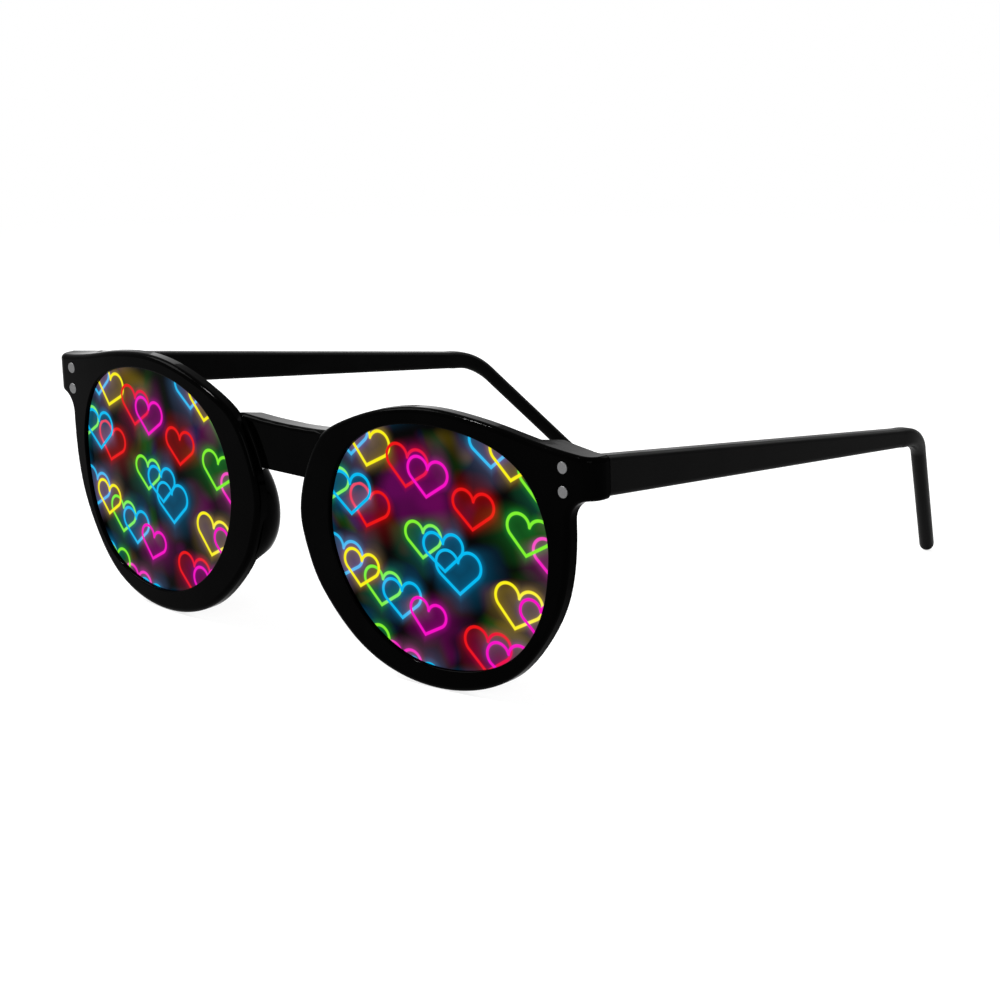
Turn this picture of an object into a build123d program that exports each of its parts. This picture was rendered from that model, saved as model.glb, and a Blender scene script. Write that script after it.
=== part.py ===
from build123d import *
import math
import os

# Round glasses with a keyhole bridge, film lenses and two temples that fold on screwed hinges.
# The origin is on the ground, midway between the front and the temple tips.
# +X is the wearer's left, +Y points back along the temples and +Z is up. Lengths are millimetres.
# Places on the front are given as across, behind its face and above its lens centres.

# Front: a curved plate with two round rims, leaning forward at its top
face_tilt = 2.0
face_radius = 400.0
rim_depth = 2.4
lens_half_width = 23.35
lens_half_height = 20.7
nasal_rim = 7.4
temporal_rim = 3.9
top_rim = 3.1
bottom_rim = 4.1
nose_half_gap = 5.4

# Endpieces, which carry the hinges at the two ends of the front
endpiece_reach = 5.2
endpiece_top = 19.0
endpiece_height = 7.1
brow_rise = 0.15
endpiece_fillet = 3.6
endpiece_straight = 0.3
corner_radius = 3.4
endpiece_depth = 3.7
seat_length = 9.6
seat_run = 2.0

# Bridge between the rims, set back behind their faces
bridge_recess = 2.3
bridge_back = 6.2
bridge_middle_top = 15.6
bridge_side_top = 16.1
bridge_underside = 6.9
bridge_half_length = 12.2
bridge_plateau = 8.6
bridge_fillet = 0.5
bridge_edge = 0.8

# Nose pads, moulded on the backs of the rims
pad_width = 3.2
pad_tip_width = 1.9
pad_root_depth = 1.8
pad_mid_depth = 5.0
pad_tip_depth = 9.0
pad_mid_flare = 0.3
pad_flare = 4.6

# Edges of the front
front_edge = 0.9
aperture_edge = 0.25

# Lenses and the film on their faces, held in a groove inside each rim
lens_setback = 0.9
film_thickness = 0.15
lens_thickness = 0.8
groove_depth = 0.9
lens_clearance = 0.05

# Temples: a flat tapering arm and a slim ear leg that bends down and inwards
arm_thickness = 3.2
arm_top = 19.1
arm_front_height = 6.8
arm_end_height = 3.3
arm_length = 100.9
arm_drop = 14.5
toe_in = 5.1
arm_edge = 0.9
joint_gap = 0.15
leg_thickness = 2.9
leg_edge = 1.4
leg_tip_radius = 1.3
bend_radius = 13.0
bend_lead = 8.0
leg_back = 25.4
leg_inward = 13.8

# Hinges, with two front knuckles and one temple knuckle on each screw
knuckle_radius = 1.5
knuckle_height = 1.6
middle_knuckle_height = 1.9
knuckle_gap = 0.05
knuckle_back_gap = 0.2
knuckle_side_gap = 0.3
leaf_thickness = 0.8
leaf_clearance = 0.03
front_leaf_length = 5.8
front_leaf_height = 6.0
front_neck_width = 1.6
front_neck_margin = 0.1
temple_leaf_start = 1.2
temple_leaf_length = 7.2
temple_leaf_height = 3.4
temple_neck_width = 1.9
peg_radius = 0.55
peg_length = 1.4
peg_spacing = 3.6
peg_from_end = 1.1
screw_radius = 0.55
screw_head_radius = 1.05
screw_head_height = 0.5
screw_slot_width = 0.3
screw_slot_depth = 0.25
screw_seat_clearance = 0.02
screw_running_clearance = 0.04

# Rivets that show on the front and hold the front leaves
rivet_head_radius = 1.0
rivet_head_depth = 0.45
rivet_proud = 0.12
rivet_shank_radius = 0.5
rivet_spacing = 4.0
rivet_from_end = 5.9
rivet_drop = 0.3
rivet_clearance = 0.02
rivet_head_edge = 0.1

# Overrun of cutting shapes past what they cut, and what picks an edge: how near, how steep, how far out
overrun = 3.0
pick_margin = 0.04
steep_share = 0.7
rim_edge_share = 1.04

# Outline of a lens, as shares of its half width and half height about its centre
lens_outline_shares = (
    (1.0, 0.06), (0.95, 0.43), (0.78, 0.74), (0.42, 0.945), (0.0, 1.0),
    (-0.45, 0.925), (-0.80, 0.685), (-0.97, 0.32), (-0.985, -0.1), (-0.88, -0.42),
    (-0.62, -0.765), (-0.22, -0.985), (0.25, -0.995), (0.64, -0.835), (0.90, -0.48),
)
# Outline of a rim from its brow round the nose and the bottom to its temporal side,
# as shares of its half width and half height about its centre
rim_outline_shares = (
    (0.911, 0.840), (0.74, 0.878), (0.537, 0.930), (0.332, 0.968), (0.10, 0.99), (-0.14, 0.972),
    (-0.40, 0.90), (-0.62, 0.80), (-0.80, 0.67), (-0.90, 0.50), (-0.975, 0.27), (-1.0, 0.03),
    (-0.965, -0.15), (-0.885, -0.38), (-0.74, -0.60), (-0.52, -0.82), (-0.27, -0.95),
    (0.03, -1.0), (0.33, -0.955), (0.60, -0.805), (0.81, -0.53), (0.94, -0.23), (0.99, 0.05),
)
# Sections of the bend behind the ear, as shares of its length
bend_step_shares = (0, 0.25, 0.5, 0.75, 1)
# Nose side of a nose pad, as shares of the rim's half width and half height about its centre
pad_root_shares = ((-0.945, 0.27), (-0.985, -0.05), (-0.84, -0.45))
pad_mid_shares = ((-0.91, 0.27), (-0.99, -0.05), (-0.884, -0.37))
pad_tip_shares = ((-0.86, 0.22), (-0.99, -0.09), (-0.867, -0.436))


def face_depth(x):
    """How far the curved face lies behind its middle at a place across the front."""
    return face_radius - math.sqrt(face_radius**2 - x**2)


# Places worked out from the sizes above
rim_half_width = lens_half_width + (nasal_rim + temporal_rim) / 2
rim_half_height = lens_half_height + (top_rim + bottom_rim) / 2
rim_x = nose_half_gap + rim_half_width
rim_up = (top_rim - bottom_rim) / 2
rim_side = rim_x + rim_half_width
lens_x = nose_half_gap + nasal_rim + lens_half_width
half_width = rim_side + endpiece_reach
joint_depth = face_depth(half_width) + endpiece_depth
endpiece_bottom = endpiece_top - endpiece_height
seat_inner = half_width - seat_length
seat_foot = seat_inner - seat_run
hinge_up = endpiece_top - endpiece_height / 2
hinge_x = half_width - arm_thickness - knuckle_side_gap - knuckle_radius
hinge_depth = joint_depth + knuckle_back_gap + knuckle_radius
stack_height = 2 * (knuckle_height + knuckle_gap) + middle_knuckle_height
rivet_x = half_width - rivet_from_end
rivet_ups = [hinge_up - rivet_drop + side * rivet_spacing / 2 for side in (-1, 1)]
leaf_outer = half_width - arm_thickness
blank_half_height = rim_half_height + overrun
lens_back = lens_setback + film_thickness + lens_thickness
tilt = math.radians(face_tilt)
toe = math.radians(toe_in)
hinge_run = (half_width - hinge_x) * math.sin(toe) + (hinge_depth - joint_depth) * math.cos(toe)
hinge_out = (hinge_depth - joint_depth) * math.sin(toe) - (half_width - hinge_x) * math.cos(toe)
arm_middle_up = arm_top - arm_front_height / 2
arm_straight = arm_length - bend_lead
peg_runs = [temple_leaf_start + temple_leaf_length - peg_from_end - step * peg_spacing for step in (0, 1)]
neck_x = hinge_x + knuckle_radius - front_neck_margin - front_neck_width / 2
neck_root = leaf_thickness / 2
tip_reach = joint_depth + arm_length * math.cos(toe) + leg_back + leg_thickness / 2
front_y = -tip_reach / 2
across = Vector(1, 0, 0)
back_way = Vector(0, math.cos(tilt), math.sin(tilt))
up_way = Vector(0, -math.sin(tilt), math.cos(tilt))
along_arm = back_way * math.cos(toe) - across * math.sin(toe)
outboard = across * math.cos(toe) + back_way * math.sin(toe)

rivet_front = face_depth(rivet_x) - rivet_proud
lens_height = (rim_half_height - rim_up) * math.cos(tilt) - face_depth(rim_x) * math.sin(tilt)


def on_front(x, back, up):
    """A place in the part's frame, from its place across, behind and above on the front."""
    return Vector(x, front_y, lens_height) + back_way * back + up_way * up


def from_front(point):
    """The place across, behind and above on the front, from a place in the part's frame."""
    away = point - on_front(0, 0, 0)
    return away.X, away.dot(back_way), away.dot(up_way)


def on_arm(run, out, up):
    """A place from its run along the left arm, its distance outboard of the outer face and its height."""
    return on_front(half_width, joint_depth, up) + along_arm * run + outboard * out


def face_plane(back):
    """A plane across the front, facing forwards, with across and up as its directions."""
    return Plane(origin=on_front(0, back, 0), x_dir=across, z_dir=-back_way)


def level_plane(up):
    """A plane square to the hinges, with across and back as its directions."""
    return Plane(origin=on_front(0, 0, up), x_dir=across, z_dir=up_way)


def arm_plane(out):
    """A plane beside the left arm, facing outboard, with the run and up as its directions."""
    return Plane(origin=on_arm(0, out, 0), x_dir=along_arm, z_dir=outboard)


def arm_section(run):
    """A plane square to the left arm, with inboard and up as its directions."""
    return Plane(origin=on_arm(run, 0, 0), x_dir=-outboard, z_dir=along_arm)


def arm_up(run):
    """Height of the middle of the left arm."""
    return arm_middle_up - arm_drop * run / arm_length


def arm_height(run):
    """Height of the left arm's side."""
    return arm_front_height + (arm_end_height - arm_front_height) * run / arm_length


def leg_section(place, way):
    """A plane square to the left ear leg at a place, turned like the arm."""
    return Plane(origin=place, x_dir=way * outboard.dot(way) - outboard, z_dir=way)


def around_rim(shares, shift=0.0):
    """Places about the centre of the left rim, from shares of its half sizes."""
    return [(rim_x + shift + a * rim_half_width, rim_up + b * rim_half_height) for a, b in shares]


def behind_face(edge):
    """How far the middle of an edge lies behind the curved face."""
    x, back, up = from_front(edge @ 0.5)
    return back - face_depth(x)


def round_lens(edge):
    """Distance of an edge from the lens centre, as a share of the lens's half sizes."""
    x, back, up = from_front(edge @ 0.5)
    return math.hypot((x - lens_x) / lens_half_width, up / lens_half_height)


def lens_solid(grow, front, back):
    """The space inside a lens outline, between two depths behind the curved face."""
    points = [
        (lens_x + a * (lens_half_width + grow), b * (lens_half_height + grow))
        for a, b in lens_outline_shares
    ]
    with BuildPart() as solid:
        with BuildSketch(face_plane(-overrun)):
            with BuildLine():
                Spline(*points, periodic=True)
            make_face()
        extrude(amount=-(joint_depth + 2 * overrun))
        with BuildSketch(level_plane(-blank_half_height)):
            with Locations((0, face_radius)):
                Circle(face_radius - front)
                Circle(face_radius - back, mode=Mode.SUBTRACT)
        extrude(amount=2 * blank_half_height, mode=Mode.INTERSECT)
    return solid.part


def both_sides(part, name):
    """Writes the left piece and its mirror image on the right."""
    for side in ("left", "right"):
        with BuildPart() as piece:
            add(part if side == "left" else mirror(part, about=Plane.YZ, mode=Mode.PRIVATE))
        piece.part.label = f"{side}_{name}"
        export_step(piece.part, f"parts/{side}_{name}.step")


os.makedirs("parts", exist_ok=True)

# Left half of the bridge, set back between the rims
with BuildPart() as half_bridge_part:
    with BuildSketch(face_plane(bridge_recess)):
        with BuildLine():
            ThreePointArc(
                (-bridge_half_length, bridge_side_top),
                (0, bridge_middle_top),
                (bridge_half_length, bridge_side_top),
            )
            Polyline(
                (bridge_half_length, bridge_side_top),
                (bridge_half_length, bridge_underside),
                (-bridge_half_length, bridge_underside),
                (-bridge_half_length, bridge_side_top),
            )
        make_face()
    extrude(amount=-(bridge_back - bridge_recess))
    top_edges = half_bridge_part.edges().filter_by(lambda edge: edge.geom_type == GeomType.CIRCLE)
    fillet(top_edges, bridge_edge)
    with BuildSketch(level_plane(bridge_underside - overrun)):
        Polygon(
            (0, 0),
            (bridge_half_length, 0),
            (bridge_half_length, rim_depth),
            (bridge_plateau, bridge_back),
            (0, bridge_back),
            align=None,
        )
    extrude(amount=bridge_side_top - bridge_underside + 2 * overrun, mode=Mode.INTERSECT)
half_bridge = half_bridge_part.part

# Front frame: the left half, then its mirror image
with BuildPart() as front_frame:
    # Plan shape, with the seat for the hinge behind the endpiece
    with BuildSketch(level_plane(-blank_half_height)) as plan:
        with BuildLine():
            ThreePointArc(
                (0, 0),
                (half_width / 2, face_depth(half_width / 2)),
                (half_width, face_depth(half_width)),
            )
            Polyline(
                (half_width, face_depth(half_width)),
                (half_width, joint_depth),
                (seat_inner, joint_depth),
                (seat_foot, face_depth(seat_foot) + rim_depth),
            )
            ThreePointArc(
                (seat_foot, face_depth(seat_foot) + rim_depth),
                (seat_foot / 2, face_depth(seat_foot / 2) + rim_depth),
                (0, rim_depth),
            )
            Line((0, rim_depth), (0, 0))
        make_face()
        fillet(plan.vertices().group_by(Axis.X)[-1].sort_by(Axis.Y)[0], corner_radius)
    extrude(amount=2 * blank_half_height)

    # Outline of the rim and the endpiece, seen from the front
    with BuildSketch(face_plane(-overrun)) as outline:
        outer_end = half_width + overrun
        side_end = endpiece_bottom - endpiece_fillet - endpiece_straight
        with BuildLine():
            Spline(
                (outer_end, endpiece_top),
                (rim_side + endpiece_fillet, endpiece_top + brow_rise),
                *around_rim(rim_outline_shares),
                (rim_side, side_end),
            )
            Polyline(
                (rim_side, side_end),
                (rim_side, endpiece_bottom),
                (outer_end, endpiece_bottom),
                (outer_end, endpiece_top),
            )
        make_face()
        fillet(outline.vertices().sort_by_distance(Vector(rim_side, endpiece_bottom))[0], endpiece_fillet)
    extrude(amount=-(joint_depth + 2 * overrun), mode=Mode.INTERSECT)

    # Space behind the rim, under the seat
    with BuildSketch(level_plane(-blank_half_height)):
        seat_middle = (seat_foot + outer_end) / 2
        with BuildLine():
            ThreePointArc(
                (seat_foot, face_depth(seat_foot) + rim_depth),
                (seat_middle, face_depth(seat_middle) + rim_depth),
                (outer_end, face_depth(outer_end) + rim_depth),
            )
            Polyline(
                (outer_end, face_depth(outer_end) + rim_depth),
                (outer_end, joint_depth + overrun),
                (seat_foot, joint_depth + overrun),
                (seat_foot, face_depth(seat_foot) + rim_depth),
            )
        make_face()
    extrude(amount=blank_half_height + endpiece_bottom, mode=Mode.SUBTRACT)

    # Rounded edge round the front
    fillet(
        front_frame.edges().filter_by(
            lambda edge: behind_face(edge) < pick_margin and abs((edge % 0.5).dot(up_way)) < 1 - pick_margin
        ),
        front_edge,
    )

    # Half of the bridge, rounded into the rim
    add(half_bridge)
    bridge_roots = front_frame.edges().filter_by(
        lambda edge: abs(from_front(edge @ 0.5)[1] - bridge_recess) < pick_margin
        and nose_half_gap < from_front(edge @ 0.5)[0] < bridge_half_length
        and abs((edge % 0.5).dot(up_way)) > steep_share
    )
    fillet(bridge_roots, bridge_fillet)

    # Nose pad behind the rim
    for back, shares, flare, width in (
        (pad_root_depth, pad_root_shares, 0, pad_width),
        (pad_mid_depth, pad_mid_shares, pad_mid_flare, pad_width),
        (pad_tip_depth, pad_tip_shares, pad_flare, pad_tip_width),
    ):
        with BuildSketch(face_plane(back)):
            with BuildLine():
                near = ThreePointArc(*around_rim(shares, flare))
                far = ThreePointArc(*around_rim(shares, flare + width))
                Line(near @ 0, far @ 0)
                Line(near @ 1, far @ 1)
            make_face()
    loft()

    # Lens opening and the groove that holds the lens
    add(lens_solid(0, -overrun, joint_depth), mode=Mode.SUBTRACT)
    add(
        lens_solid(groove_depth + lens_clearance, lens_setback - lens_clearance, lens_back + lens_clearance),
        mode=Mode.SUBTRACT,
    )
    fillet(
        front_frame.edges().filter_by(
            lambda edge: abs(behind_face(edge)) < pick_margin and round_lens(edge) < rim_edge_share
        ),
        aperture_edge,
    )

    # Pocket for the hinge leaf, and holes for its rivets
    with BuildSketch(face_plane(joint_depth)):
        with Locations((leaf_outer - front_leaf_length / 2, hinge_up)):
            Rectangle(front_leaf_length + 2 * leaf_clearance, front_leaf_height + 2 * leaf_clearance)
    extrude(amount=leaf_thickness + leaf_clearance, mode=Mode.SUBTRACT)
    with BuildSketch(face_plane(0)):
        with Locations(*[(rivet_x, up) for up in rivet_ups]):
            Circle(rivet_shank_radius + rivet_clearance)
    extrude(amount=-joint_depth, mode=Mode.SUBTRACT)
    with BuildSketch(face_plane(0)):
        with Locations(*[(rivet_x, up) for up in rivet_ups]):
            Circle(rivet_head_radius + rivet_clearance)
    extrude(amount=-(rivet_front + rivet_head_depth), mode=Mode.SUBTRACT)

    mirror(about=Plane.YZ)
front_frame.part.label = "front_frame"
export_step(front_frame.part, "parts/front_frame.step")

# Lens, sprung into the groove, with the film on its front
with BuildPart() as lens:
    add(lens_solid(groove_depth, lens_setback + film_thickness, lens_back))
both_sides(lens.part, "lens")
with BuildPart() as film:
    add(lens_solid(groove_depth, lens_setback, lens_setback + film_thickness))
both_sides(film.part, "diffraction_film")

# Front hinge leaf: a plate in the endpiece with an upper and a lower knuckle
with BuildPart() as front_leaf:
    with BuildSketch(face_plane(joint_depth)):
        with Locations((leaf_outer - front_leaf_length / 2, hinge_up)):
            Rectangle(front_leaf_length, front_leaf_height)
        with Locations(*[(rivet_x, up) for up in rivet_ups]):
            Circle(rivet_shank_radius + rivet_clearance, mode=Mode.SUBTRACT)
    extrude(amount=leaf_thickness)
    for bottom in (hinge_up - stack_height / 2, hinge_up + stack_height / 2 - knuckle_height):
        with BuildSketch(level_plane(bottom)):
            with Locations((hinge_x, hinge_depth)):
                Circle(knuckle_radius)
            with Locations((neck_x, (joint_depth + hinge_depth - neck_root) / 2)):
                Rectangle(front_neck_width, hinge_depth - joint_depth + neck_root)
        extrude(amount=knuckle_height)
    with BuildSketch(level_plane(hinge_up - stack_height)):
        with Locations((hinge_x, hinge_depth)):
            Circle(screw_radius + screw_seat_clearance)
    extrude(amount=2 * stack_height, mode=Mode.SUBTRACT)
both_sides(front_leaf.part, "front_hinge_leaf")

# Temple hinge leaf: a plate in the arm with the middle knuckle and two pegs
with BuildPart() as temple_leaf:
    with BuildSketch(arm_plane(-arm_thickness)):
        with Locations((temple_leaf_start + temple_leaf_length / 2, hinge_up)):
            Rectangle(temple_leaf_length, temple_leaf_height)
    extrude(amount=leaf_thickness)
    with BuildSketch(arm_plane(leaf_thickness - arm_thickness)):
        with Locations(*[(run, hinge_up) for run in peg_runs]):
            Circle(peg_radius)
    extrude(amount=peg_length)
    with BuildSketch(level_plane(hinge_up - middle_knuckle_height / 2)):
        with Locations((hinge_x, hinge_depth)):
            Circle(knuckle_radius)
    extrude(amount=middle_knuckle_height)
    with BuildSketch(arm_plane(hinge_out)):
        with Locations((hinge_run, hinge_up)):
            Rectangle(temple_neck_width, middle_knuckle_height)
    extrude(amount=neck_root - arm_thickness - hinge_out)
    with BuildSketch(level_plane(hinge_up - stack_height)):
        with Locations((hinge_x, hinge_depth)):
            Circle(screw_radius + screw_running_clearance)
    extrude(amount=2 * stack_height, mode=Mode.SUBTRACT)
both_sides(temple_leaf.part, "temple_hinge_leaf")

# Hinge screw: a slotted head on the upper knuckle and a shank through all three
with BuildPart() as screw:
    with BuildSketch(level_plane(hinge_up - stack_height / 2)):
        with Locations((hinge_x, hinge_depth)):
            Circle(screw_radius)
    extrude(amount=stack_height)
    with BuildSketch(level_plane(hinge_up + stack_height / 2)):
        with Locations((hinge_x, hinge_depth)):
            Circle(screw_head_radius)
    extrude(amount=screw_head_height)
    with BuildSketch(level_plane(hinge_up + stack_height / 2 + screw_head_height)):
        with Locations((hinge_x, hinge_depth)):
            Rectangle(2 * screw_head_radius, screw_slot_width)
    extrude(amount=-screw_slot_depth, mode=Mode.SUBTRACT)
both_sides(screw.part, "hinge_screw")

# Rivets, with a flat head in the face and a shank through the endpiece and the leaf
for name, up in zip(("lower_front_rivet", "upper_front_rivet"), rivet_ups):
    with BuildPart() as rivet:
        with BuildSketch(face_plane(rivet_front)):
            with Locations((rivet_x, up)):
                Circle(rivet_head_radius)
        extrude(amount=-rivet_head_depth)
        fillet(rivet.edges().filter_by(GeomType.CIRCLE).sort_by(Axis.Y)[0], rivet_head_edge)
        with BuildSketch(face_plane(joint_depth)):
            with Locations((rivet_x, up)):
                Circle(rivet_shank_radius)
        extrude(amount=joint_depth - rivet_front - rivet_head_depth)
    both_sides(rivet.part, name)

# Temple: a tapering arm, then the ear leg
with BuildPart() as temple:
    with BuildSketch(arm_plane(0)):
        Polygon(
            *[(run, arm_up(run) + arm_height(run) / 2) for run in (-overrun, arm_straight)],
            *[(run, arm_up(run) - arm_height(run) / 2) for run in (arm_straight, -overrun)],
            align=None,
        )
    extrude(amount=-arm_thickness)
    fillet(
        temple.edges().filter_by(lambda edge: abs((edge % 0.5).dot(along_arm)) > steep_share),
        arm_edge,
    )
    with BuildSketch(face_plane(joint_depth + joint_gap)):
        with Locations((half_width, hinge_up)):
            Rectangle(2 * (arm_thickness + overrun), arm_front_height + 2 * overrun)
    extrude(amount=2 * overrun, mode=Mode.SUBTRACT)

    # Bend behind the ear
    arm_end = on_arm(arm_straight, -arm_thickness / 2, arm_up(arm_straight))
    corner = on_arm(arm_length, -arm_thickness / 2, arm_up(arm_length))
    tip = Vector(corner.X - leg_inward, corner.Y + leg_back, leg_thickness / 2)
    with BuildLine(mode=Mode.PRIVATE) as middle:
        FilletPolyline(arm_end, corner, tip, radius=bend_radius)
    bend = middle.edges().sort_by_distance(corner)[0]
    add(temple.faces().sort_by_distance(arm_end)[0])
    for step in bend_step_shares:
        width = arm_thickness + (leg_thickness - arm_thickness) * step
        height = arm_height(arm_straight) + (leg_thickness - arm_height(arm_straight)) * step
        with BuildSketch(leg_section(bend @ step, bend % step)):
            RectangleRounded(width, height, arm_edge + (leg_edge - arm_edge) * step)
    loft()

    # Straight ear leg with a rounded tip on the ground
    with BuildSketch(leg_section(bend @ 1, bend % 1)):
        RectangleRounded(leg_thickness, leg_thickness, leg_edge)
    extrude(amount=(tip - bend @ 1).length + leg_tip_radius)
    fillet(temple.faces().sort_by(Axis((0, 0, 0), tuple(tip - corner)))[-1].edges(), leg_tip_radius)

    # Pocket and holes for the hinge leaf
    with BuildSketch(arm_plane(-arm_thickness)):
        with Locations((temple_leaf_start + temple_leaf_length / 2, hinge_up)):
            Rectangle(temple_leaf_length + 2 * leaf_clearance, temple_leaf_height + 2 * leaf_clearance)
    extrude(amount=leaf_thickness + leaf_clearance, mode=Mode.SUBTRACT)
    with BuildSketch(arm_plane(-arm_thickness)):
        with Locations(*[(run, hinge_up) for run in peg_runs]):
            Circle(peg_radius + leaf_clearance)
    extrude(amount=leaf_thickness + peg_length + leaf_clearance, mode=Mode.SUBTRACT)
both_sides(temple.part, "temple")
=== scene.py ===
import bpy
import math
from mathutils import Matrix, Vector


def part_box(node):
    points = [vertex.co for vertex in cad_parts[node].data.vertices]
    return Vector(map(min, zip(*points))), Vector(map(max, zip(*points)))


# Round black glasses with printed film lenses, on a white floor. Lengths are metres.
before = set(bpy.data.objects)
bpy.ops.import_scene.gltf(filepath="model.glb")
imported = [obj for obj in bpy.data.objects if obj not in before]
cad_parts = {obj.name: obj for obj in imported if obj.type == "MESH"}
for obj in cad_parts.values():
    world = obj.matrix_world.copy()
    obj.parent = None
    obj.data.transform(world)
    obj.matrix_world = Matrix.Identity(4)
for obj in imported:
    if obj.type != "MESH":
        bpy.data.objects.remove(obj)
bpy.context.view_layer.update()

# Camera: where the photograph was taken from and what its middle looks at
camera_azimuth = math.radians(43.312)
camera_elevation = math.radians(13.665)
camera_roll = math.radians(-0.156)
camera_distance = 0.41379
camera_target = Vector((0.05323, -0.06844, 0.03602))
camera_nearest = 0.01
# Its sensor and focal length, in millimetres
sensor_width = 36.0
focal_length = 93.23

# Square lamps, given by their direction from the glasses
lamp_centre = Vector((0.0, -0.05, 0.03))
lamps = {
    "key_softbox": {"towards": (-0.67, -0.30, 0.69), "distance": 0.90, "size": 0.34, "watts": 5.0},
    "fill_softbox": {"towards": (0.62, -0.70, 0.36), "distance": 1.30, "size": 0.60, "watts": 6.0},
    "back_softbox": {"towards": (0.10, 0.80, 0.60), "distance": 1.10, "size": 0.60, "watts": 6.0},
    "rim_softbox": {"towards": (-0.62, 0.68, 0.33), "distance": 1.10, "size": 0.42, "watts": 1.9},
    "spark_lamp": {"towards": (-0.35, -0.40, 0.84), "distance": 0.90, "size": 0.05, "watts": 9.0},
}

# White surroundings: their strength where they are seen or mirrored, and as light on the glasses
world_seen = 1.0
world_light = 0.45

# White floor: its glow and the tone that catches the shadow where it is seen, the tone that throws
# light back on the glasses, and the distances over which it turns to plain white
floor_size = 6.0
floor_seen = 0.80
floor_shade = 0.26
floor_bounce = 0.75
floor_fade_start = 0.22
floor_fade_end = 0.55

# Noise values at which a shader's number reaches its low and its high end
noise_low = 0.3
noise_high = 0.7

# Black plastics, each between two tones and two roughnesses, with its reflection and its bumps' heights
plastics = {
    "front_gloss": {
        "dark": (0.0001, 0.0001, 0.0001),
        "light": (0.0003, 0.0003, 0.0003),
        "smooth": 0.05,
        "rough": 0.09,
        "level": 0.008,
        "ripple": 0.000014,
        "grain": 0.0000006,
    },
    "temple_satin": {
        "dark": (0.0006, 0.0006, 0.0006),
        "light": (0.0011, 0.0011, 0.0011),
        "smooth": 0.28,
        "rough": 0.38,
        "level": 0.011,
        "ripple": 0.000006,
        "grain": 0.000004,
    },
}
plastic_patch_size = 0.009
plastic_patch_low = 0.35
plastic_patch_high = 0.65
ripple_size = 0.0032
small_ripple_size = 0.0008
small_ripple_share = 0.25
grain_size = 0.00035

# Steels, each with its tone, two roughnesses, and how far its marks are drawn out along X, Y and Z
metals = {
    "rivet_steel": {"tone": (0.17, 0.17, 0.172), "smooth": 0.38, "rough": 0.5, "stretch": (1, 1, 1)},
    "hinge_steel": {"tone": (0.56, 0.56, 0.57), "smooth": 0.26, "rough": 0.4, "stretch": (6, 6, 1)},
    "screw_steel": {"tone": (0.63, 0.62, 0.60), "smooth": 0.2, "rough": 0.34, "stretch": (6, 1, 1)},
}
mark_size = 0.00012
mark_depth = 0.000002
dull_share = 0.72

# Clear lens
lens_alpha = 0.15
lens_level = 0.35
lens_dark = (0.006, 0.006, 0.008)
lens_light = (0.012, 0.012, 0.014)
lens_smooth = 0.05
lens_rough = 0.1
lens_patch_size = 0.007

# Film under its print, which gives off light through Emission at film_glow: a painted glow
film_tone = (0.0005, 0.0005, 0.0006)
film_level = 0.01
film_glow = 1.0
film_smooth = 0.12
film_rough = 0.2
film_patch_size = 0.004
film_wave_size = 0.012
film_wave_height = 0.00002

# Print on the film: hearts alone or in overlapping pairs, in rows that rise to the wearer's left, each pair
# running down that way. One set of rows lies between the rows of the other. The print is drawn as emitted
# light, so its strokes, haloes, haze and clouds are a painted glow.
row_slope = math.radians(-16)
pair_length = 0.0185
row_height = 0.0130
row_shift_spread = 0.0040
partner_along = 0.0038
partner_across = -0.00125
heart_half_width = 0.0042
heart_size_spread = 0.26
heart_tilt = math.radians(-4)
heart_tilt_spread = math.radians(16)
jitter_along = 0.0020
jitter_across = 0.0016
missing_share = 0.24
stroke_half_width = 0.00027
stroke_softness = 0.00008
# Painted glow round each heart: a halo near the stroke, a wider haze, and a faint fill inside
halo_reach = 0.0008
halo_share = 0.95
haze_reach = 0.0023
haze_share = 0.38
fill_share = 0.25
fade_width = 0.0026
# Blurred clouds of painted glow behind the hearts, with the noise values between which they come up
cloud_size = 0.010
cloud_hue_size = 0.02
cloud_share = 0.6
cloud_low = 0.48
cloud_high = 0.78
# Steps of the hue from cell to cell, from row to row, between the two of a pair and between the sets
hue_step = 0.382
hue_row_step = 0.236
hue_partner_step = 0.55
hue_set_step = 0.31
# Step of the seed from one heart of a pair to the next
heart_seed_step = 0.25
# Middle of a cell, and of a random number
half = 0.5

# Shape of a heart about its tip, as shares of its half width
lobe_out_share = 0.495
lobe_radius_share = 1 - lobe_out_share
lobe_up_share = 1.04
heart_middle_share = 0.77

# Colours that the hearts' strokes and their haloes give off as painted glow, each with the share of the
# hearts up to which it runs
hue_shares = (0.24, 0.47, 0.71, 0.82, 1.0)
stroke_colours = (
    (0.0, 0.50, 0.90),
    (0.95, 0.004, 0.56),
    (0.22, 0.90, 0.03),
    (0.98, 0.88, 0.01),
    (0.85, 0.006, 0.006),
)
halo_colours = (
    (0.0, 0.13, 0.27),
    (0.24, 0.0, 0.16),
    (0.01, 0.17, 0.02),
    (0.24, 0.16, 0.0),
    (0.28, 0.0, 0.0),
)
# Colours of the clouds of painted glow, each with its place among the hues
cloud_colours = (
    (0.00, (0.14, 0.0, 0.12)),
    (0.40, (0.20, 0.0, 0.13)),
    (0.46, (0.002, 0.03, 0.16)),
    (0.51, (0.0, 0.12, 0.02)),
    (0.56, (0.03, 0.16, 0.0)),
    (0.61, (0.24, 0.17, 0.0)),
    (1.00, (0.24, 0.004, 0.0)),
)

black = (0, 0, 0, 1)
white = (1, 1, 1, 1)

# Sockets of a Mix node for colours: its factor and the two colours, and what it gives
mix_inputs = (0, 6, 7)
mix_output = 2


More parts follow.
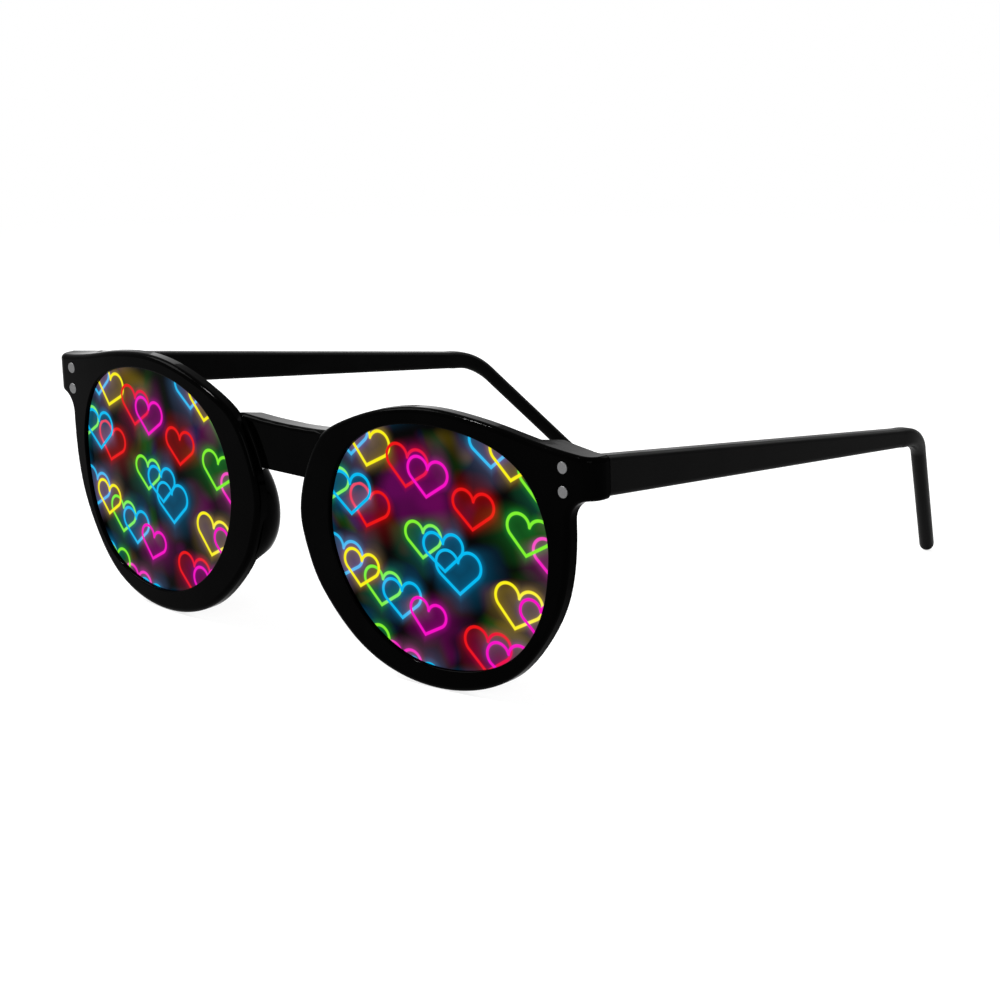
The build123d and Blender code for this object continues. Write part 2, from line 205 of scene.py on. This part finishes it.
class Field:
    """A number that varies over a surface or from ray to ray, worked out by math nodes."""

    def __init__(self, tree, socket):
        self.tree = tree
        self.socket = socket

    def worked(self, operation, *others):
        """The field that a math node gives from this one and others, which are fields or plain numbers."""
        node = self.tree.nodes.new("ShaderNodeMath")
        node.operation = operation
        for value, socket in zip((self, *others), node.inputs):
            if isinstance(value, Field):
                self.tree.links.new(value.socket, socket)
            else:
                socket.default_value = value
        return Field(self.tree, node.outputs[0])

    def __add__(self, other):
        return self.worked("ADD", other)

    def __sub__(self, other):
        return self.worked("SUBTRACT", other)

    def __mul__(self, other):
        return self.worked("MULTIPLY", other)

    def __truediv__(self, other):
        return self.worked("DIVIDE", other)

    def __abs__(self):
        return self.worked("ABSOLUTE")

    def floor(self):
        return self.worked("FLOOR")

    def fraction(self):
        return self.worked("FRACT")

    def sign(self):
        return self.worked("SIGN")

    def least(self, other):
        return self.worked("MINIMUM", other)

    def most(self, other):
        return self.worked("MAXIMUM", other)

    def over(self, other):
        """1 where this field is the greater, and 0 elsewhere."""
        return self.worked("GREATER_THAN", other)

    def length(self, other):
        """Length of the vector with this field and the other as its parts."""
        return (self * self + other * other).worked("SQRT")

    def pick(self, where_one, where_zero):
        """One field where this one is 1, and another where it is 0."""
        return where_zero + (where_one - where_zero) * self

    def ramp(self, low, high):
        """Rises smoothly from 0 at low to 1 at high."""
        node = self.tree.nodes.new("ShaderNodeMapRange")
        node.interpolation_type = "SMOOTHSTEP"
        self.tree.links.new(self.socket, node.inputs["Value"])
        node.inputs["From Min"].default_value = low
        node.inputs["From Max"].default_value = high
        return Field(self.tree, node.outputs["Result"])


def turned(x, y, angle):
    """Two fields as the parts of a vector, turned by an angle."""
    return x * math.cos(angle) - y * math.sin(angle), x * math.sin(angle) + y * math.cos(angle)


def new_material(name, **settings):
    """A material, its node tree and its Principled shader with some sockets set."""
    material = bpy.data.materials.new(name)
    material.use_nodes = True
    shader = material.node_tree.nodes["Principled BSDF"]
    for socket, value in settings.items():
        shader.inputs[socket.replace("_", " ")].default_value = value
    return material, material.node_tree, shader


def position(tree):
    """The place on the piece at rest, as a vector socket."""
    return tree.nodes.new("ShaderNodeTexCoord").outputs["Object"]


def noise(tree, size, detail, stretch=(1, 1, 1)):
    """A noise field with features of one size, drawn out along the axes."""
    mapping = tree.nodes.new("ShaderNodeMapping")
    mapping.inputs["Scale"].default_value = [1 / (size * share) for share in stretch]
    tree.links.new(position(tree), mapping.inputs["Vector"])
    node = tree.nodes.new("ShaderNodeTexNoise")
    node.inputs["Scale"].default_value = 1
    node.inputs["Detail"].default_value = detail
    tree.links.new(mapping.outputs["Vector"], node.inputs["Vector"])
    return Field(tree, node.outputs["Fac"])


def white_noise(tree, *parts):
    """Three fields that are random from cell to cell, from up to three numbers that name the cell."""
    joined = tree.nodes.new("ShaderNodeCombineXYZ")
    for part, socket in zip(parts, joined.inputs):
        if isinstance(part, Field):
            tree.links.new(part.socket, socket)
        else:
            socket.default_value = part
    node = tree.nodes.new("ShaderNodeTexWhiteNoise")
    tree.links.new(joined.outputs["Vector"], node.inputs["Vector"])
    split = tree.nodes.new("ShaderNodeSeparateColor")
    tree.links.new(node.outputs["Color"], split.inputs["Color"])
    return [Field(tree, socket) for socket in split.outputs]


def colour_ramp(tree, field, stops, interpolation):
    """A colour socket that follows a field through the colours of a ramp."""
    node = tree.nodes.new("ShaderNodeValToRGB")
    ramp = node.color_ramp
    ramp.interpolation = interpolation
    while len(ramp.elements) < len(stops):
        ramp.elements.new(1)
    for element, (place, colour) in zip(ramp.elements, stops):
        element.position = place
        element.color = (*colour, 1)
    tree.links.new(field.socket, node.inputs["Fac"])
    return node.outputs["Color"]


def mixed(tree, blend, factor, first, second):
    """A colour socket that mixes two colours, each a socket or a plain colour."""
    node = tree.nodes.new("ShaderNodeMix")
    node.data_type = "RGBA"
    node.blend_type = blend
    for number, value in zip(mix_inputs, (factor, first, second)):
        socket = node.inputs[number]
        if isinstance(value, Field):
            tree.links.new(value.socket, socket)
        elif isinstance(value, bpy.types.NodeSocket):
            tree.links.new(value, socket)
        else:
            socket.default_value = value
    return node.outputs[mix_output]


def bumps(tree, shader, *heights):
    """Bump on a shader from pairs of a height field and its height."""
    below = None
    for field, height in heights:
        node = tree.nodes.new("ShaderNodeBump")
        node.inputs["Distance"].default_value = height
        tree.links.new(field.socket, node.inputs["Height"])
        if below is not None:
            tree.links.new(below, node.inputs["Normal"])
        below = node.outputs["Normal"]
    tree.links.new(below, shader.inputs["Normal"])


def varied(tree, socket, field, low, high):
    """A shader's socket that runs from low to high with a field."""
    node = tree.nodes.new("ShaderNodeMapRange")
    tree.links.new(field.socket, node.inputs["Value"])
    node.inputs["From Min"].default_value = noise_low
    node.inputs["From Max"].default_value = noise_high
    node.inputs["To Min"].default_value = low
    node.inputs["To Max"].default_value = high
    tree.links.new(node.outputs["Result"], socket)


def plastic(name, dark, light, smooth, rough, level, ripple, grain):
    """Black moulded plastic in patches of two tones and roughnesses, with ripples and a fine grain."""
    material, tree, shader = new_material(name, Specular_IOR_Level=level)
    patches = noise(tree, plastic_patch_size, detail=2)
    stops = ((plastic_patch_low, dark), (plastic_patch_high, light))
    tree.links.new(colour_ramp(tree, patches, stops, "LINEAR"), shader.inputs["Base Color"])
    varied(tree, shader.inputs["Roughness"], patches, smooth, rough)
    bumps(
        tree,
        shader,
        (noise(tree, ripple_size, detail=1), ripple),
        (noise(tree, small_ripple_size, detail=1), ripple * small_ripple_share),
        (noise(tree, grain_size, detail=3), grain),
    )
    return material


def metal(name, tone, smooth, rough, stretch):
    """Steel with fine marks, which may be drawn out along the axes."""
    material, tree, shader = new_material(name, Metallic=1.0)
    marks = noise(tree, mark_size, detail=3, stretch=stretch)
    dull = tuple(part * dull_share for part in tone)
    stops = ((noise_low, dull), (noise_high, tone))
    tree.links.new(colour_ramp(tree, marks, stops, "LINEAR"), shader.inputs["Base Color"])
    varied(tree, shader.inputs["Roughness"], marks, smooth, rough)
    bumps(tree, shader, (marks, mark_depth))
    return material


def heart_outline(x, y):
    """Distance from a heart's outline, less than 0 inside, with its tip at 0 and its half width 1.

    Each half is an arc about its lobe's middle, with a straight side that meets it and runs to the tip.
    """
    reach = math.hypot(lobe_out_share, lobe_up_share)
    slope = math.atan2(lobe_up_share, lobe_out_share) - math.asin(lobe_radius_share / reach)
    notch_rise = math.sqrt(lobe_radius_share**2 - lobe_out_share**2)
    x = abs(x)
    # The arc holds past the upper end of the side, and above the line from the lobe's middle to the notch
    out = x - lobe_out_share
    up = y - lobe_up_share
    along = out * math.cos(slope) + up * math.sin(slope)
    above = out * notch_rise + up * lobe_out_share
    arc = out.length(up) - lobe_radius_share
    side = x * math.sin(slope) - y * math.cos(slope)
    notch = x.length(up - notch_rise)
    inner = side.sign() * abs(side).least(notch)
    return along.most(above).over(0).pick(arc, inner)


def hue_ramp(tree, hue, colours):
    """A colour socket with one of some colours, picked by a field from 0 to 1."""
    starts = (0.0, *hue_shares[:-1])
    return colour_ramp(tree, hue, tuple(zip(starts, colours)), "CONSTANT")


def draw_heart(tree, picture, along, across, dice, hue, edge):
    """A picture with one heart drawn over it, with its halo, haze and fill of painted glow, from places
    about its middle and three random fields.
    """
    size, lean, presence = dice
    shown = presence.over(missing_share)
    x, y = turned(along, across, -row_slope)
    angle = (lean - half) * heart_tilt_spread + heart_tilt
    cosine, sine = angle.worked("COSINE"), angle.worked("SINE")
    x, y = x * cosine + y * sine, y * cosine - x * sine
    half_width = (size * heart_size_spread + (1 - heart_size_spread / 2)) * heart_half_width
    distance = heart_outline(x / half_width, y / half_width + heart_middle_share) * half_width
    outside = abs(distance) - stroke_half_width
    stroke = (outside * -1).ramp(-stroke_softness, stroke_softness) * shown
    # Halo, haze and fill are painted glow about the stroke, added to the emitted picture
    halo = (outside / -halo_reach).worked("EXPONENT").least(1) * halo_share
    haze = (outside / -haze_reach).worked("EXPONENT").least(1) * haze_share
    fill = (distance * -1).ramp(0, stroke_half_width) * fill_share
    glow = halo.most(haze + fill) * edge * shown
    lit = mixed(tree, "MIX", glow, black, hue_ramp(tree, hue, halo_colours))
    picture = mixed(tree, "LIGHTEN", 1, picture, lit)
    return mixed(tree, "MIX", stroke, picture, hue_ramp(tree, hue, stroke_colours))


def draw_pairs(tree, picture, along, across, set_number):
    """A picture with one set of rows of heart pairs drawn over it."""
    row = (across / row_height).floor()
    within_row = across - (row + half) * row_height
    moved = along + white_noise(tree, row, set_number)[0] * row_shift_spread
    cell = (moved / pair_length).floor()
    within_cell = moved - (cell + half) * pair_length
    row_edge = abs(within_row).ramp(row_height / 2 - fade_width, row_height / 2) * -1 + 1
    cell_edge = abs(within_cell).ramp(pair_length / 2 - fade_width, pair_length / 2) * -1 + 1
    edge = cell_edge * row_edge
    place = white_noise(tree, cell, row, set_number)
    near_along = within_cell - (place[0] - half) * jitter_along
    near_across = within_row - (place[1] - half) * jitter_across
    first_hue = cell * hue_step + row * hue_row_step + set_number * hue_set_step
    for number, side in enumerate((-1, 1)):
        dice = white_noise(tree, cell, row, set_number + (number + 1) * heart_seed_step)
        hue = (first_hue + number * hue_partner_step).fraction()
        heart_along = near_along - partner_along / 2 * side
        heart_across = near_across - partner_across * side
        picture = draw_heart(tree, picture, heart_along, heart_across, dice, hue, edge)
    return picture


def printed_film_painted_glow():
    """Dark film whose print glows with painted light, put in as Emission: pairs of heart outlines over
    blurred clouds of colour.
    """
    material, tree, shader = new_material(
        "film_print_painted_glow", Base_Color=(*film_tone, 1), Specular_IOR_Level=film_level, Emission_Strength=film_glow
    )
    split = tree.nodes.new("ShaderNodeSeparateXYZ")
    tree.links.new(position(tree), split.inputs["Vector"])
    across_face = Field(tree, split.outputs["X"])
    low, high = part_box("left_diffraction_film")
    middle = (low + high) / 2
    x = across_face - across_face.sign() * middle.x
    y = Field(tree, split.outputs["Z"]) - middle.z
    along, across = turned(x, y, row_slope)

    hue = noise(tree, cloud_hue_size, detail=0)
    amount = noise(tree, cloud_size, detail=1).ramp(cloud_low, cloud_high) * cloud_share
    picture = mixed(tree, "MIX", amount, black, colour_ramp(tree, hue, cloud_colours, "EASE"))
    picture = draw_pairs(tree, picture, along, across, set_number=1)
    picture = draw_pairs(tree, picture, along + pair_length / 2, across + row_height / 2, set_number=2)
    # The print and its clouds go in as emitted light: a painted glow, though the film is no lamp
    tree.links.new(picture, shader.inputs["Emission Color"])
    patches = noise(tree, film_patch_size, detail=2)
    varied(tree, shader.inputs["Roughness"], patches, film_smooth, film_rough)
    bumps(tree, shader, (noise(tree, film_wave_size, detail=1), film_wave_height))
    return material


def clear_lens():
    """Clear plastic with a dark tint, which lets the print of the film be seen from behind."""
    material, tree, shader = new_material("lens_plastic", Alpha=lens_alpha, Specular_IOR_Level=lens_level)
    patches = noise(tree, lens_patch_size, detail=2)
    stops = ((noise_low, lens_dark), (noise_high, lens_light))
    tree.links.new(colour_ramp(tree, patches, stops, "LINEAR"), shader.inputs["Base Color"])
    varied(tree, shader.inputs["Roughness"], patches, lens_smooth, lens_rough)
    return material


def dress_nodes():
    """Gives every CAD node its material, by the last word of its name."""
    materials = {
        "frame": plastic("front_gloss", **plastics["front_gloss"]),
        "temple": plastic("temple_satin", **plastics["temple_satin"]),
        "lens": clear_lens(),
        "film": printed_film_painted_glow(),
        "rivet": metal("rivet_steel", **metals["rivet_steel"]),
        "leaf": metal("hinge_steel", **metals["hinge_steel"]),
        "screw": metal("screw_steel", **metals["screw_steel"]),
    }
    for name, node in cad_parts.items():
        node.data.materials.clear()
        node.data.materials.append(materials[name.split("_")[-1]])


def build_camera():
    """The camera of the photograph."""
    back = Vector((
        math.sin(camera_azimuth) * math.cos(camera_elevation),
        -math.cos(camera_azimuth) * math.cos(camera_elevation),
        math.sin(camera_elevation),
    ))
    level = Vector((math.cos(camera_azimuth), math.sin(camera_azimuth), 0))
    upright = back.cross(level)
    right = level * math.cos(camera_roll) + upright * math.sin(camera_roll)
    up = upright * math.cos(camera_roll) - level * math.sin(camera_roll)
    camera = bpy.data.objects.new("camera", bpy.data.cameras.new("camera"))
    bpy.context.scene.collection.objects.link(camera)
    camera.data.sensor_width = sensor_width
    camera.data.lens = focal_length
    camera.data.clip_start = camera_nearest
    turn = Matrix((right, up, back)).transposed().to_4x4()
    camera.matrix_world = Matrix.Translation(camera_target + back * camera_distance) @ turn
    bpy.context.scene.camera = camera


def build_lights():
    """The lamps, each facing the glasses."""
    for name, lamp in lamps.items():
        light = bpy.data.lights.new(name, "AREA")
        light.shape = "SQUARE"
        light.size = lamp["size"]
        light.energy = lamp["watts"]
        holder = bpy.data.objects.new(name, light)
        bpy.context.scene.collection.objects.link(holder)
        towards = Vector(lamp["towards"]).normalized()
        holder.location = lamp_centre + towards * lamp["distance"]
        holder.rotation_euler = towards.to_track_quat("Z", "Y").to_euler()


def seen_or_mirrored(tree):
    """1 for what is seen straight, in a reflection or through glass, and 0 for light on a surface."""
    rays = tree.nodes.new("ShaderNodeLightPath")
    seen = Field(tree, rays.outputs["Is Camera Ray"])
    for kind in ("Is Glossy Ray", "Is Transmission Ray"):
        seen = seen.most(Field(tree, rays.outputs[kind]))
    return seen


def build_world():
    """White surroundings, which light the glasses less than they show."""
    world = bpy.data.worlds.new("white_surroundings")
    world.use_nodes = True
    bpy.context.scene.world = world
    tree = world.node_tree
    shader = tree.nodes["Background"]
    shader.inputs["Color"].default_value = white
    strength = seen_or_mirrored(tree) * (world_seen - world_light) + world_light
    tree.links.new(strength.socket, shader.inputs["Strength"])


def shader_mix(tree, factor, where_zero, where_one):
    """A shader node that mixes two others by a field."""
    node = tree.nodes.new("ShaderNodeMixShader")
    for source, socket in zip((factor.socket, where_zero.outputs[0], where_one.outputs[0]), node.inputs):
        tree.links.new(source, socket)
    return node


def build_floor():
    """A white floor that keeps the shadow of the glasses."""
    reach = floor_size / 2
    corners = [(-reach, -reach, 0), (reach, -reach, 0), (reach, reach, 0), (-reach, reach, 0)]
    mesh = bpy.data.meshes.new("floor")
    mesh.from_pydata(corners, [], [range(len(corners))])
    floor = bpy.data.objects.new("floor", mesh)
    bpy.context.scene.collection.objects.link(floor)
    material = bpy.data.materials.new("white_floor")
    material.use_nodes = True
    tree = material.node_tree
    tree.nodes.remove(tree.nodes["Principled BSDF"])
    lit = {}
    for name, share in (("shaded", floor_shade), ("bounce", floor_bounce)):
        lit[name] = tree.nodes.new("ShaderNodeBsdfDiffuse")
        lit[name].inputs["Color"].default_value = (share, share, share, 1)
    glow = tree.nodes.new("ShaderNodeEmission")
    glow.inputs["Strength"].default_value = floor_seen
    added = tree.nodes.new("ShaderNodeAddShader")
    tree.links.new(glow.outputs[0], added.inputs[0])
    tree.links.new(lit["shaded"].outputs[0], added.inputs[1])
    split = tree.nodes.new("ShaderNodeSeparateXYZ")
    tree.links.new(position(tree), split.inputs["Vector"])
    away = Field(tree, split.outputs["X"]).length(Field(tree, split.outputs["Y"]))
    plain = tree.nodes.new("ShaderNodeEmission")
    seen = shader_mix(tree, away.ramp(floor_fade_start, floor_fade_end), added, plain)
    whole = shader_mix(tree, seen_or_mirrored(tree), lit["bounce"], seen)
    tree.links.new(whole.outputs[0], tree.nodes["Material Output"].inputs["Surface"])
    mesh.materials.append(material)


build_camera()
build_world()
build_lights()
build_floor()
dress_nodes()
bpy.context.scene.view_settings.view_transform = "Standard"
